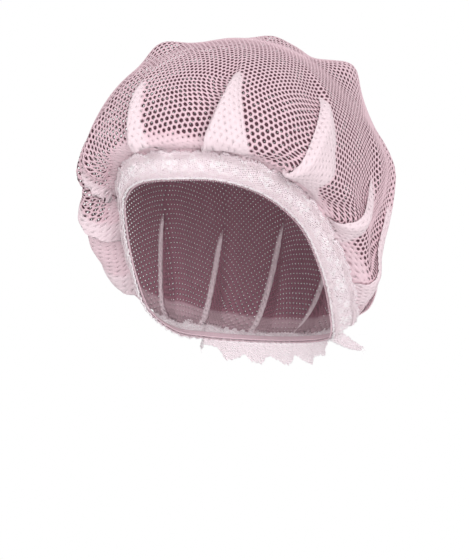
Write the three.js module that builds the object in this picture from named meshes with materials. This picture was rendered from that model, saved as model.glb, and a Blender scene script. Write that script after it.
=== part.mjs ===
// A hair net as worn: a gathered bag of open mesh, a lace band along the forehead and temples,
// and a gathered lace frill on an elastic at the nape.
// Millimetres. +Z up, the wearer looks along -Y, the wearer's left ear is on +X.
// The origin is the centre of the head opening.
import * as THREE from 'three'

// Head opening: the path of the lower lace edge, long and wide in plan, high in front and low at the nape
const openingHalfWidth = 73
const openingHalfLength = 83
const openingHalfRise = 56
// Stations from the forehead round the wearer's left to the nape: side, back and rise
const openingShares = [
  [0, -1, 1],
  [0.42, -0.93, 0.97],
  [0.72, -0.68, 0.8],
  [0.91, -0.36, 0.45],
  [0.985, -0.09, -0.08],
  [0.96, 0.16, -0.6],
  [0.84, 0.44, -0.86],
  [0.66, 0.7, -0.94],
  [0.36, 0.92, -0.985],
  [0, 1, -1],
]

// Lace: one strip width all the way round, and how it leans at each station: out, back and up
const laceWidth = 21
const laceThickness = 1.2
const laceLeanShares = [
  [0.14, 0, 0.9],
  [0.19, 0, 0.9],
  [0.29, 0.14, 0.86],
  [0.43, 0.48, 0.67],
  [0.57, 0.71, 0.38],
  [0.62, 0.76, 0.29],
  [0.57, 0.57, 0.5],
  [0.48, 0.38, 0.6],
  [0.43, 0.24, 0.47],
  [0.43, 0.24, 0.4],
]
// Azimuth, from the forehead, at which the front lace ends and the nape frill begins
const cornerAngle = 141

// Net bag: half width, reach to the front and back of its middle, and the crown
const netThickness = 2
const bagHalfWidth = 108
const bagFront = 101
const bagBack = 116
const bagMiddleY = 6
const crownHeight = 158
const crownY = 8
// Height of the widest line in front, at the side and behind
const waistFront = 80
const waistSide = 42
const waistBack = 56
// How square the bag is above and below its widest line: 2 is an ellipse
const upperSquareness = { front: 1.95, side: 2, back: 2.5 }
const lowerSquareness = { front: 2, side: 2.9, back: 1.35 }
// How early the rear shape takes over from the side
const backwardBlend = 1.5

// Pleats that gather the net into the seam: azimuth of the folded edge at its foot and its head,
// and shares of the pleat width, of the climb to the crown and of the pleat lift
const pleatWidth = 35
const pleatLift = 5
const pleatEdgeRound = 5
const pleatFurrow = 7
const ridgeFootShare = 0.6
const ridgeTailShare = 0.55
const furrowPlaceShare = 1.8
const furrowDepthShare = 0.45
// Shares of the climb: over which a pleat grows, how far its edge runs on, and how slowly it fades
const pleatRootShare = 0.1
const edgeRunShare = 1.15
const pleatFadeShare = 1.3
const pleats = [
  { foot: -17, head: -26, widthShare: 0.42, heightShare: 0.4, liftShare: 0.7 },
  { foot: 11, head: 28, widthShare: 1, heightShare: 0.42, liftShare: 1 },
  { foot: 42, head: 62, widthShare: 0.9, heightShare: 0.4, liftShare: 1 },
  { foot: 74, head: 90, widthShare: 0.5, heightShare: 0.3, liftShare: 0.8 },
  { foot: 98, head: 108, widthShare: 0.6, heightShare: 0.34, liftShare: 0.9 },
  { foot: 120, head: 124, widthShare: 0.6, heightShare: 0.36, liftShare: 0.9 },
  { foot: 143, head: 143, widthShare: 0.7, heightShare: 0.36, liftShare: 0.9 },
  { foot: 165, head: 163, widthShare: 0.7, heightShare: 0.36, liftShare: 0.9 },
  { foot: 188, head: 186, widthShare: 0.7, heightShare: 0.36, liftShare: 0.9 },
  { foot: 211, head: 210, widthShare: 0.7, heightShare: 0.36, liftShare: 0.9 },
  { foot: 234, head: 234, widthShare: 0.7, heightShare: 0.36, liftShare: 0.9 },
  { foot: 257, head: 262, widthShare: 0.6, heightShare: 0.34, liftShare: 0.9 },
  { foot: 276, head: 288, widthShare: 0.6, heightShare: 0.3, liftShare: 0.9 },
  { foot: 294, head: 312, widthShare: 0.5, heightShare: 0.28, liftShare: 1 },
  { foot: 310, head: 322, widthShare: 0.6, heightShare: 0.36, liftShare: 1 },
]

// Puffs and hollows between the pleats, by azimuth and climb, with shares of the puff lift
const puffLift = 10
const puffs = [
  { azimuth: 318, climbShare: 0.69, liftShare: 0.7, azimuthSpread: 16, climbSpreadShare: 0.06 },
  { azimuth: 332, climbShare: 0.84, liftShare: -0.3, azimuthSpread: 20, climbSpreadShare: 0.05 },
  { azimuth: 118, climbShare: 0.69, liftShare: 0.8, azimuthSpread: 14, climbSpreadShare: 0.045 },
  { azimuth: 105, climbShare: 0.9, liftShare: 0.4, azimuthSpread: 30, climbSpreadShare: 0.045 },
  { azimuth: 120, climbShare: 0.79, liftShare: -0.3, azimuthSpread: 18, climbSpreadShare: 0.035 },
  { azimuth: 116, climbShare: 0.55, liftShare: -0.5, azimuthSpread: 16, climbSpreadShare: 0.07 },
  { azimuth: 104, climbShare: 0.17, liftShare: -1, azimuthSpread: 26, climbSpreadShare: 0.11 },
  { azimuth: 110, climbShare: 0.4, liftShare: 0.2, azimuthSpread: 14, climbSpreadShare: 0.05 },
  { azimuth: 271, climbShare: 0.12, liftShare: 0.8, azimuthSpread: 12, climbSpreadShare: 0.06 },
  { azimuth: 322, climbShare: 0.32, liftShare: -0.4, azimuthSpread: 16, climbSpreadShare: 0.12 },
  { azimuth: 286, climbShare: 0.2, liftShare: -0.4, azimuthSpread: 12, climbSpreadShare: 0.05 },
]

// Elastic, on the head side of the lace
const elasticWidth = 5
const elasticThickness = 0.8
const elasticEdgeInset = 1

// Threads, and the clearance that pieces lying on each other keep
const seamThreadRadius = 0.7
const stitchThreadRadius = 0.35
const clearance = 0.3

// Nape frill: the free edge below the gathering line, and its ruffles
const frillDrop = 9
const frillFlare = 5
const ruffleLift = 2.6
const ruffleLength = 21

// Bar tack at each end of the front lace, and the loose lace end beside it
const tackLength = 7
const tackWidth = 2.4
const tackThickness = 0.9
const tackHeightShare = 0.62
const endLength = 24
const endWidth = 13
const endTipWidth = 5
const endHeightShare = 0.45
// How the lace end heads out and back, and how far it lifts towards its tip
const endOutShare = 0.85
const endBackShare = 0.53
const endLiftShare = 0.22

// Mesh density
const aroundCount = 96
const climbCount = 14
const climbGrading = 1.15
const loopSamples = 720
const pathSamples = 60
const threadSides = 5
const threadSteps = 64
const frontSteps = 72
const frontRows = 4
const napeSteps = 60
const elasticSteps = 48
const endSteps = 8
const endRows = 3

// Azimuths between which the front lace and the nape frill run, a clearance off the corner
const cornerGap = THREE.MathUtils.radToDeg(clearance / openingHalfLength)
const frontEnd = cornerAngle - cornerGap
const napeStart = cornerAngle + cornerGap
const napeEnd = 360 - napeStart

const up = new THREE.Vector3(0, 0, 1)
const rearward = new THREE.Vector3(0, 1, 0)

// Colours, roughness and metalness of the yarns
const meshYarn = { color: 0xe3c3cd, roughness: 0.8, metalness: 0 }
const laceYarn = { color: 0xeddfe3, roughness: 0.85, metalness: 0 }
const elasticYarn = { color: 0xe8d3da, roughness: 0.7, metalness: 0 }
const threadYarn = { color: 0xf0e2e7, roughness: 0.6, metalness: 0 }

function smoothStep(value) {
  const t = THREE.MathUtils.clamp(value, 0, 1)
  return t * t * (3 - 2 * t)
}

// Mixes a front, a side and a back value by azimuth
function mixRound(values, azimuth, backBlend) {
  const facing = Math.cos(azimuth)
  const ahead = smoothStep(facing)
  const behind = smoothStep(-facing * backBlend)
  return values.side + (values.front - values.side) * ahead + (values.back - values.side) * behind
}

// Closed loop through the stations and their mirror images
function loopThrough(stations) {
  const mirrored = stations.slice(1, -1).reverse().map((p) => new THREE.Vector3(-p.x, p.y, p.z))
  return new THREE.CatmullRomCurve3([...stations, ...mirrored], true, 'centripetal')
}

function openingStations() {
  return openingShares.map(
    ([side, back, rise]) =>
      new THREE.Vector3(side * openingHalfWidth, back * openingHalfLength, rise * openingHalfRise),
  )
}

// Upper lace edge, opposite each opening station
function laceTopStations() {
  return openingStations().map((point, k) => {
    const outward = new THREE.Vector3(point.x / openingHalfWidth, point.y / openingHalfLength, 0)
    const [out, back, rise] = laceLeanShares[k]
    return point
      .clone()
      .addScaledVector(outward.normalize(), out * laceWidth)
      .add(new THREE.Vector3(0, back * laceWidth, rise * laceWidth))
  })
}

const openingLoop = loopThrough(openingStations())
const laceTopLoop = loopThrough(laceTopStations())

function azimuthOf(point) {
  return Math.atan2(point.x, bagMiddleY - point.y)
}

// Loop parameter at which the upper lace edge has this azimuth, by bisection over one half turn
function loopParameter(azimuth) {
  const turned = THREE.MathUtils.euclideanModulo(azimuth, 2 * Math.PI)
  const left = turned <= Math.PI
  const wanted = left ? turned : 2 * Math.PI - turned
  let low = 0
  let high = 0.5
  while (high - low > 1 / loopSamples ** 2) {
    const middle = (low + high) / 2
    if (azimuthOf(laceTopLoop.getPoint(middle)) < wanted) low = middle
    else high = middle
  }
  return left ? low : 1 - low
}

// A frame on the lace at an azimuth: lower and upper edge, the way up the band and the way out
function laceFrame(azimuth) {
  const at = loopParameter(azimuth)
  const step = 1 / loopSamples
  const lower = openingLoop.getPoint(at)
  const upper = laceTopLoop.getPoint(at)
  const climb = upper.clone().sub(lower).normalize()
  const before = openingLoop.getPoint(THREE.MathUtils.euclideanModulo(at - step, 1))
  const along = openingLoop.getPoint((at + step) % 1).sub(before).normalize()
  const outward = along.clone().cross(climb).normalize()
  const faceOut = new THREE.Vector3(lower.x / openingHalfWidth, lower.y / openingHalfLength, 0)
  if (outward.dot(faceOut) < 0) outward.negate()
  return { lower, upper, climb, along, outward }
}

// Where the net leaves the lace: just past its upper edge
function netFoot(azimuth) {
  const frame = laceFrame(azimuth)
  return frame.upper.clone().addScaledVector(frame.climb, netThickness / 2 + clearance)
}

function waistPoint(azimuth) {
  const facing = Math.cos(azimuth)
  const reach = facing > 0 ? bagFront : bagBack
  const heights = { front: waistFront, side: waistSide, back: waistBack }
  return new THREE.Vector3(
    bagHalfWidth * Math.sin(azimuth),
    bagMiddleY - reach * facing,
    mixRound(heights, azimuth, 1),
  )
}

// Points on the unpleated net from foot to crown, at the given shares of its length
function meridian(azimuth, climbs) {
  const foot = netFoot(azimuth)
  const waist = waistPoint(azimuth)
  const crown = new THREE.Vector3(0, crownY, crownHeight)
  const lower = mixRound(lowerSquareness, azimuth, backwardBlend)
  const upper = mixRound(upperSquareness, azimuth, backwardBlend)
  const path = []
  for (let k = pathSamples; k >= 0; k -= 1) {
    const turn = (k / pathSamples) * (Math.PI / 2)
    const wide = k === pathSamples ? 0 : Math.cos(turn) ** (2 / lower)
    const deep = Math.sin(turn) ** (2 / lower)
    const point = foot.clone().lerp(waist, wide)
    point.z = waist.z - (waist.z - foot.z) * deep
    path.push(point)
  }
  for (let k = 1; k <= pathSamples; k += 1) {
    const turn = (k / pathSamples) * (Math.PI / 2)
    const wide = k === pathSamples ? 0 : Math.cos(turn) ** (2 / upper)
    const point = crown.clone().lerp(waist, wide)
    point.z = waist.z + (crown.z - waist.z) * Math.sin(turn) ** (2 / upper)
    path.push(point)
  }
  return spacedAlong(path, climbs)
}

// Points at shares of the length of a polyline
function spacedAlong(path, shares) {
  const reached = [0]
  for (let k = 1; k < path.length; k += 1) reached.push(reached[k - 1] + path[k].distanceTo(path[k - 1]))
  const total = reached[reached.length - 1]
  return shares.map((share) => {
    const wanted = share * total
    let k = 1
    while (k < path.length - 1 && reached[k] < wanted) k += 1
    const part = (wanted - reached[k - 1]) / (reached[k] - reached[k - 1])
    return path[k - 1].clone().lerp(path[k], THREE.MathUtils.clamp(part, 0, 1))
  })
}

// Degrees from one azimuth to another, from -180 to 180
function turnFrom(start, azimuth) {
  return THREE.MathUtils.euclideanModulo(azimuth - start + 180, 360) - 180
}

// How far pleats and puffs lift the net off its smooth shape
function liftHeight(azimuth, climb, radius) {
  let height = 0
  for (const puff of puffs) {
    const round = turnFrom(puff.azimuth, azimuth) / puff.azimuthSpread
    const above = (climb - puff.climbShare) / puff.climbSpreadShare
    height += puffLift * puff.liftShare * Math.exp(-(round ** 2) - above ** 2)
  }
  for (const pleat of pleats) {
    const rise = Math.min(climb / pleat.heightShare, edgeRunShare)
    const edge = pleat.foot + (pleat.head - pleat.foot) * rise
    const past = THREE.MathUtils.degToRad(turnFrom(edge, azimuth)) * radius
    const width = pleatWidth * pleat.widthShare
    const fade = 1 - smoothStep((climb - pleat.heightShare / 2) / (pleat.heightShare * pleatFadeShare))
    const grown = smoothStep(climb / pleatRootShare) * fade
    const ridgeFoot = pleatEdgeRound * ridgeFootShare
    const ridge =
      smoothStep((past + ridgeFoot) / pleatEdgeRound) *
      Math.exp(-Math.max(past - ridgeFoot, 0) / (width * ridgeTailShare))
    const furrowPlace = pleatEdgeRound * furrowPlaceShare
    const furrow = furrowDepthShare * Math.exp(-(((past + furrowPlace) / pleatFurrow) ** 2))
    height += pleatLift * pleat.liftShare * grown * (ridge - furrow)
  }
  return height
}

// Turns a sheet of middle points and triangles into one closed solid of the given thickness
function sheetSolid(points, triangles, thickness) {
  const normals = points.map(() => new THREE.Vector3())
  for (const [a, b, c] of triangles) {
    const side = points[b].clone().sub(points[a])
    const normal = side.cross(points[c].clone().sub(points[a]))
    for (const corner of [a, b, c]) normals[corner].add(normal)
  }
  const positions = []
  for (const sign of [1, -1]) {
    points.forEach((point, k) => {
      const normal = normals[k].clone().normalize()
      positions.push(...point.clone().addScaledVector(normal, (sign * thickness) / 2).toArray())
    })
  }
  const below = points.length
  const faces = []
  const edges = new Map()
  for (const [a, b, c] of triangles) {
    faces.push(a, b, c, a + below, c + below, b + below)
    for (const [from, to] of [[a, b], [b, c], [c, a]]) {
      if (edges.has(`${to},${from}`)) edges.delete(`${to},${from}`)
      else edges.set(`${from},${to}`, [from, to])
    }
  }
  for (const [from, to] of edges.values()) {
    faces.push(from, from + below, to, to, from + below, to + below)
  }
  return facingOut(positions, faces)
}

// A geometry from positions and faces, turned so that its faces point out
function facingOut(positions, faces) {
  const geometry = new THREE.BufferGeometry()
  geometry.setAttribute('position', new THREE.Float32BufferAttribute(positions, 3))
  const at = (k) => new THREE.Vector3(...positions.slice(3 * k, 3 * k + 3))
  let volume = 0
  for (let k = 0; k < faces.length; k += 3) {
    volume += at(faces[k]).dot(at(faces[k + 1]).cross(at(faces[k + 2])))
  }
  const turned = []
  for (let k = 0; k < faces.length; k += 3) {
    const [a, b, c] = faces.slice(k, k + 3)
    if (volume > 0) turned.push(a, b, c)
    else turned.push(a, c, b)
  }
  geometry.setIndex(turned)
  geometry.computeVertexNormals()
  return geometry
}

// Triangles of a grid of rows, whose points lie one row after another
function gridTriangles(rowCount, rowLength, closed) {
  const triangles = []
  const lastRow = closed ? rowCount : rowCount - 1
  for (let i = 0; i < lastRow; i += 1) {
    const next = (i + 1) % rowCount
    for (let j = 0; j < rowLength - 1; j += 1) {
      const a = i * rowLength + j
      const b = next * rowLength + j
      triangles.push([a, b, b + 1], [a, b + 1, a + 1])
    }
  }
  return triangles
}

// The mesh bag with its pleats, closed at the crown and open at the head
function netGeometry() {
  const climbs = []
  for (let j = 0; j < climbCount; j += 1) climbs.push((j / climbCount) ** climbGrading)
  const rows = []
  for (let i = 0; i < aroundCount; i += 1) {
    rows.push(meridian((i / aroundCount) * 2 * Math.PI, climbs))
  }
  const points = []
  rows.forEach((row, i) => {
    const before = rows[(i + aroundCount - 1) % aroundCount]
    const after = rows[(i + 1) % aroundCount]
    row.forEach((point, j) => {
      const along = after[j].clone().sub(before[j])
      const ahead = row[Math.min(j + 1, climbCount - 1)]
      const behind = row[Math.max(j - 1, 0)]
      const outward = along.cross(ahead.clone().sub(behind)).normalize()
      const radius = Math.hypot(point.x, point.y - crownY)
      const height = liftHeight((i / aroundCount) * 360, climbs[j], radius)
      points.push(point.clone().addScaledVector(outward, height))
    })
  })
  const triangles = gridTriangles(aroundCount, climbCount, true)
  const crown = points.push(new THREE.Vector3(0, crownY, crownHeight)) - 1
  for (let i = 0; i < aroundCount; i += 1) {
    const next = (i + 1) % aroundCount
    triangles.push([i * climbCount + climbCount - 1, next * climbCount + climbCount - 1, crown])
  }
  return sheetSolid(points, triangles, netThickness)
}

// Azimuths from one end to the other, both included
function azimuths(from, to, count) {
  const list = []
  for (let k = 0; k <= count; k += 1) {
    list.push(THREE.MathUtils.degToRad(from + ((to - from) * k) / count))
  }
  return list
}

// A band of sheet between two azimuths: place(frame, row, azimuth) gives the middle points
function bandGeometry(from, to, count, rowCount, thickness, place) {
  const points = []
  for (const azimuth of azimuths(from, to, count)) {
    const frame = laceFrame(azimuth)
    for (let row = 0; row < rowCount; row += 1) points.push(place(frame, row, azimuth))
  }
  return sheetSolid(points, gridTriangles(count + 1, rowCount, false), thickness)
}

function threadAlong(points, radius) {
  const section = new THREE.Shape()
  for (let k = 0; k < threadSides; k += 1) {
    const turn = (k / threadSides) * 2 * Math.PI
    const x = radius * Math.cos(turn)
    const y = radius * Math.sin(turn)
    if (k === 0) section.moveTo(x, y)
    else section.lineTo(x, y)
  }
  section.closePath()
  return new THREE.ExtrudeGeometry(section, {
    steps: threadSteps,
    curveSegments: 1,
    bevelEnabled: false,
    extrudePath: new THREE.CatmullRomCurve3(points, false, 'centripetal'),
  })
}

// A point on the lace: share up its width, and distance out from its middle surface
function onLace(frame, share, out) {
  return frame.lower.clone().lerp(frame.upper, share).addScaledVector(frame.outward, out)
}

function frontLaceGeometry() {
  return bandGeometry(-frontEnd, frontEnd, frontSteps, frontRows, laceThickness, (frame, row) =>
    onLace(frame, row / (frontRows - 1), 0),
  )
}

// The elastic lies on the head side, just above the lower edge
function elasticGeometry(from, to, count) {
  const depth = laceThickness / 2 + clearance + elasticThickness / 2
  return bandGeometry(from, to, count, 2, elasticThickness, (frame, row) =>
    frame.lower
      .clone()
      .addScaledVector(frame.climb, elasticEdgeInset + row * elasticWidth)
      .addScaledVector(frame.outward, -depth),
  )
}

function ruffle(azimuth) {
  const travelled = azimuth * openingHalfLength
  return ruffleLift * Math.sin((2 * Math.PI * travelled) / ruffleLength)
}

// Rows of the nape frill: free edge, half way up it, both sides of the elastic, and the edge at the net
function napeLacePoint(frame, row, azimuth) {
  if (row === 4) return frame.upper.clone()
  if (row === 3) return frame.lower.clone().addScaledVector(frame.climb, elasticEdgeInset + elasticWidth)
  if (row === 2) return frame.lower.clone()
  const reach = (2 - row) / 2
  return frame.lower
    .clone()
    .addScaledVector(up, -frillDrop * reach)
    .addScaledVector(frame.outward, frillFlare * reach + ruffle(azimuth) * reach)
}

function napeLaceGeometry() {
  return bandGeometry(napeStart, napeEnd, napeSteps, 5, laceThickness, napeLacePoint)
}

// Overlock thread on the outer face of the lace, under the net's foot
function seamThreadGeometry(from, to) {
  const points = azimuths(from, to, threadSteps / 2).map((azimuth) => {
    const out = laceThickness / 2 + clearance + seamThreadRadius
    return onLace(laceFrame(azimuth), 1, out).addScaledVector(
      laceFrame(azimuth).climb,
      -seamThreadRadius,
    )
  })
  return threadAlong(points, seamThreadRadius)
}

// Stitching that holds the elastic, on the outer face of the lace
function stitchThreadGeometry(from, to) {
  const out = laceThickness / 2 + clearance + stitchThreadRadius
  const points = azimuths(from, to, threadSteps / 2).map((azimuth) => {
    const frame = laceFrame(azimuth)
    return frame.lower
      .clone()
      .addScaledVector(frame.climb, elasticEdgeInset + elasticWidth / 2)
      .addScaledVector(frame.outward, out)
  })
  return threadAlong(points, stitchThreadRadius)
}

// A block of thread sewn across the joint of front lace and nape frill; side is 1 or -1
function barTackGeometry(side) {
  const frame = laceFrame(THREE.MathUtils.degToRad(side * cornerAngle))
  const out = laceThickness / 2 + clearance + tackThickness / 2
  const middle = onLace(frame, tackHeightShare, out)
  const geometry = new THREE.BoxGeometry(tackWidth, tackLength, tackThickness, 1, 2, 1)
  const across = frame.climb.clone().cross(frame.outward).normalize()
  const climb = frame.outward.clone().cross(across).normalize()
  geometry.applyMatrix4(new THREE.Matrix4().makeBasis(across, climb, frame.outward).setPosition(middle))
  return geometry
}

// The loose lace end beside a corner: a tapering strip that curls out and back
function laceEndGeometry(side) {
  const frame = laceFrame(THREE.MathUtils.degToRad(side * cornerAngle))
  const root = onLace(frame, endHeightShare, laceThickness + clearance + tackThickness + clearance)
  const heading = frame.outward.clone().multiplyScalar(endOutShare).addScaledVector(rearward, endBackShare)
  const points = []
  for (let k = 0; k <= endSteps; k += 1) {
    const share = k / endSteps
    const width = endWidth + (endTipWidth - endWidth) * share
    const centre = root
      .clone()
      .addScaledVector(heading, endLength * share)
      .addScaledVector(up, endLength * endLiftShare * share * share)
    for (let row = 0; row < endRows; row += 1) {
      const off = (row / (endRows - 1) - 1 / 2) * width
      const curl = (Math.abs(off) / endWidth) * laceThickness
      points.push(centre.clone().addScaledVector(frame.climb, off).addScaledVector(up, -curl))
    }
  }
  return sheetSolid(points, gridTriangles(endSteps + 1, endRows, false), laceThickness)
}

function addPiece(parent, name, geometry, finish) {
  const mesh = new THREE.Mesh(geometry, new THREE.MeshStandardMaterial(finish))
  mesh.name = name
  parent.add(mesh)
}

const hairNet = new THREE.Group()
addPiece(hairNet, 'crown_net', netGeometry(), meshYarn)
addPiece(hairNet, 'front_lace', frontLaceGeometry(), laceYarn)
addPiece(hairNet, 'front_elastic', elasticGeometry(-frontEnd, frontEnd, frontSteps), elasticYarn)
addPiece(hairNet, 'front_seam_thread', seamThreadGeometry(-frontEnd, frontEnd), threadYarn)
addPiece(hairNet, 'front_stitch_thread', stitchThreadGeometry(-frontEnd, frontEnd), threadYarn)

const napeBand = new THREE.Group()
hairNet.add(napeBand)
addPiece(napeBand, 'nape_lace', napeLaceGeometry(), laceYarn)
addPiece(napeBand, 'nape_elastic', elasticGeometry(napeStart, napeEnd, elasticSteps), elasticYarn)
addPiece(napeBand, 'nape_seam_thread', seamThreadGeometry(napeStart, napeEnd), threadYarn)
addPiece(napeBand, 'nape_stitch_thread', stitchThreadGeometry(napeStart, napeEnd), threadYarn)
addPiece(napeBand, 'bar_tack_left', barTackGeometry(1), threadYarn)
addPiece(napeBand, 'bar_tack_right', barTackGeometry(-1), threadYarn)
addPiece(napeBand, 'lace_end_left', laceEndGeometry(1), laceYarn)
addPiece(napeBand, 'lace_end_right', laceEndGeometry(-1), laceYarn)

export default hairNet
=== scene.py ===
"""A hair net as worn: gathered open mesh, a lace band with a picot edge, and a gathered nape frill.

Sizes are in millimetres and become metres where a mesh is made. +Z is up, the wearer looks along -Y, with
the left ear on +X. An azimuth is in degrees from the forehead round by that ear. A climb is a share of the
way from the seam to the crown.
"""
import math

import bpy
import numpy as np
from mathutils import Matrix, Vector


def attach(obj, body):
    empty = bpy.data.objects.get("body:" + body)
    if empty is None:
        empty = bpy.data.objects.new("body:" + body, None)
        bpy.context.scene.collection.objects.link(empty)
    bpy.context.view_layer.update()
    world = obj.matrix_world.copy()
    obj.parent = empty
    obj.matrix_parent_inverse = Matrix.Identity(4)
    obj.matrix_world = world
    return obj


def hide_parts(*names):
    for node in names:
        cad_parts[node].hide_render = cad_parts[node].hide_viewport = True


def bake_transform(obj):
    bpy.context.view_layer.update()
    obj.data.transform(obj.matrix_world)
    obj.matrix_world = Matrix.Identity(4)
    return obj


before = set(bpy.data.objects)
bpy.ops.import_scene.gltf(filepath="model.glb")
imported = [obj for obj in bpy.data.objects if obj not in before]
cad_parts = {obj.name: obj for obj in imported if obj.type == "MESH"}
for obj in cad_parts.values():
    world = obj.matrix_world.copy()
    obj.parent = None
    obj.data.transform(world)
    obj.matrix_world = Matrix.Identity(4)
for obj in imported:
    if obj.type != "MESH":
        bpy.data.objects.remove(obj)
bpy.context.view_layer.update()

MM = 0.001

# Opening and lace, as in the solids. Stations run from the forehead to the nape: side, back, rise
OPENING_HALF_WIDTH = 73.0
OPENING_HALF_LENGTH = 83.0
OPENING_HALF_RISE = 56.0
OPENING_SHARES = (
    (0, -1, 1), (0.42, -0.93, 0.97), (0.72, -0.68, 0.8), (0.91, -0.36, 0.45), (0.985, -0.09, -0.08),
    (0.96, 0.16, -0.6), (0.84, 0.44, -0.86), (0.66, 0.7, -0.94), (0.36, 0.92, -0.985), (0, 1, -1),
)
LACE_WIDTH = 21.0
LACE_LEAN_SHARES = (
    (0.14, 0, 0.9), (0.19, 0, 0.9), (0.29, 0.14, 0.86), (0.43, 0.48, 0.67), (0.57, 0.71, 0.38),
    (0.62, 0.76, 0.29), (0.57, 0.57, 0.5), (0.48, 0.38, 0.6), (0.43, 0.24, 0.47), (0.43, 0.24, 0.4),
)
# Azimuth where the front and the nape lace meet, and the degrees by which each laps over it
CORNER_ANGLE = 141.0
LACE_OVERLAP = 0.5

# Net bag, as in the solids; threes are for the front, the side and the back
BAG_HALF_WIDTH = 108.0
BAG_FRONT = 101.0
BAG_BACK = 116.0
BAG_MIDDLE_Y = 6.0
BAG_MIDDLE_Z = 40.0
CROWN_HEIGHT = 158.0
CROWN_Y = 8.0
WAIST = (80.0, 42.0, 56.0)
UPPER_SQUARENESS = (1.95, 2.0, 2.5)
LOWER_SQUARENESS = (2.0, 2.9, 1.35)
BACKWARD_BLEND = 1.5
FOOT_GAP = 1.3

# Pleats: azimuth of the folded edge at its foot and its head, and shares of width, height and lift
PLEAT_WIDTH = 35.0
PLEAT_LIFT = 5.0
PLEATS = (
    (-14, -19, 0.42, 0.40, 0.7), (11, 25, 1.0, 0.42, 1.0), (42, 62, 0.9, 0.40, 1.0),
    (74, 90, 0.5, 0.30, 0.8), (98, 108, 0.6, 0.34, 0.9), (120, 124, 0.6, 0.36, 0.9),
    (143, 143, 0.7, 0.36, 0.9), (165, 163, 0.7, 0.36, 0.9), (188, 186, 0.7, 0.36, 0.9),
    (211, 210, 0.7, 0.36, 0.9), (234, 234, 0.7, 0.36, 0.9), (257, 262, 0.6, 0.34, 0.9),
    (276, 288, 0.6, 0.30, 0.9), (294, 312, 0.5, 0.28, 1.0), (309, 324, 0.6, 0.36, 1.0),
)
# A folded edge runs on past its head, to this share of its height
EDGE_RUN_SHARE = 1.15
# Section of a pleat: its ridge, and the furrow before it
RIDGE_HALF = 3.0
RIDGE_RISE = 5.0
RIDGE_FALL_SHARE = 0.55
FURROW_PLACE = 9.0
FURROW_WIDTH = 7.0
FURROW_SHARE = 0.45
# Climb over which pleats grow, and shares of their height at which and over which they fade
PLEAT_START = 0.1
PLEAT_FADE_SHARES = (0.5, 1.3)
# Puffs and hollows: azimuth, climb, lift, azimuth spread, climb spread
PUFFS = (
    (318, 0.69, 7, 16, 0.06), (332, 0.84, -3, 20, 0.05), (118, 0.69, 8, 14, 0.045),
    (105, 0.90, 4, 30, 0.045), (120, 0.79, -3, 18, 0.035), (116, 0.55, -5, 16, 0.07),
    (104, 0.17, -10, 26, 0.11), (110, 0.40, 2, 14, 0.05), (271, 0.12, 8, 12, 0.06),
    (322, 0.32, -4, 16, 0.12), (286, 0.20, -4, 12, 0.05),
)

# Folded cloth; the net is tucked behind the lace, and free of it from a climb on
LAYER = 0.9
TUCK = 6.0
TUCK_DEPTH = 0.8
HEM_DEPTH = 0.3
FOLD_ROLL = 1.8
FOLD_ROLL_LENGTH = 6.0
FREE_CLIMB = 0.05
# Lengths over which cloth steps up a layer or layers end, and fold widths from which these are full
MIDDLE_STEP = 2.0
TOP_STEP = 1.5
UNDER_END = 6.0
FULL_FOLD = 3.0
FULL_ROLL = 4.0
# Lengthwise stretch towards the seam, and how far off the crown it starts
LENGTH_STRETCH_SHARE = 0.25
STRETCH_START = 60.0
# Cloth per worn width where it shows, the most per width in each pleat's hidden layers, and the turn of
# the cloth about the crown at each pleat's foot, with the climb over which it fades
OPEN_CLOTH = 0.95
HIDDEN_CLOTH = (4, 3, 3, 3, 3, 3, 3, 3, 3, 3, 3, 3, 4, 4, 4)
CLOTH_TURNS = (-2, 12, 17, 16, 15, 15, 15, 15, 15, 15, 15, 12, 7, 1, -3)
TURN_FADE = (0.0, 0.95)
# How softly the shown cloth goes over from open to crowded
CROWDING_POWER = 5
# Width of each pleat's folded cloth at the seam, how fast it narrows upwards, and its limits as shares
# of the pleat's height and of the panel's width
FOLD_WIDTHS = (14, 31, 38, 13, 13, 11, 8, 12, 10, 13, 9, 10, 6, 5, 5)
FOLD_TAPERS = (1.3, 1.6, 1.5, 2, 2, 2, 1.3, 2.4, 1.6, 2.2, 1.4, 2, 1.5, 1.2, 1.2)
FOLD_HEIGHT_SHARE = 1.05
FOLD_WIDTH_SHARE = 0.75
# Azimuths, and how far above the seam the gathers lie close together there
SEAM_GATHER = (
    (-140, 12), (-115, 22), (-95, 34), (-82, 26), (-74, 12), (-64, 9), (-40, 7), (-28, 12), (-15, 17),
    (2, 17), (10, 14), (28, 14), (37, 8), (46, 5), (60, 11), (75, 6), (90, 10), (105, 16), (140, 12),
)
SEAM_GATHER_FADE = 7.0
# How pale the colour paints gathers beside folds (partly doubled cloth, partly painted highlight), and how
# much gathers, folds and the slack back close the holes
SEAM_PALENESS = 0.5
SEAM_CLOSING = 0.8
FOLD_CLOSING = 0.88
SLACK_CLOSING = 0.68
SLACK_START = 15.0
SLACK_LENGTH = 45.0

# Mesh cells: distance between holes, turn of their rows, and the azimuth where the front sector ends
CELL_SIDE = 3.5
ROW_TURN = 6.5
HOLE_RADIUS = 0.95
STRAND_RISE = 0.34
INNER_RISE_SHARE = 0.75
FRONT_SECTOR = 75.0
HOLE_UNEVEN = 0.08
STRAND_UNEVEN = 0.045
# Shares by which the strands lie flatter, and are shaded level, where cloth is folded or gathered
FOLD_FLATTENING = 0.75
FOLD_LEVELLING = 0.5

# Lace: its ground, its thickness and its relief
LACE_PITCH = 1.4
LACE_TURN = 17.0
LACE_HOLE = 0.24
LACE_MOTIF_HOLE = 0.08
LACE_HALF = 0.15
LACE_RELIEF = 0.65
# Its loose loops and stray stitches, and how uneven and frayed its upper edge is
LACE_FLUFF = 0.6
FLUFF_LENGTHS = (2.3, 2.9, 3.7, 4.6, 6.1, 8.3)
LACE_STRAY = 0.3
LACE_UNEVEN = 0.8
LACE_FRAY = 1.6
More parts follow.
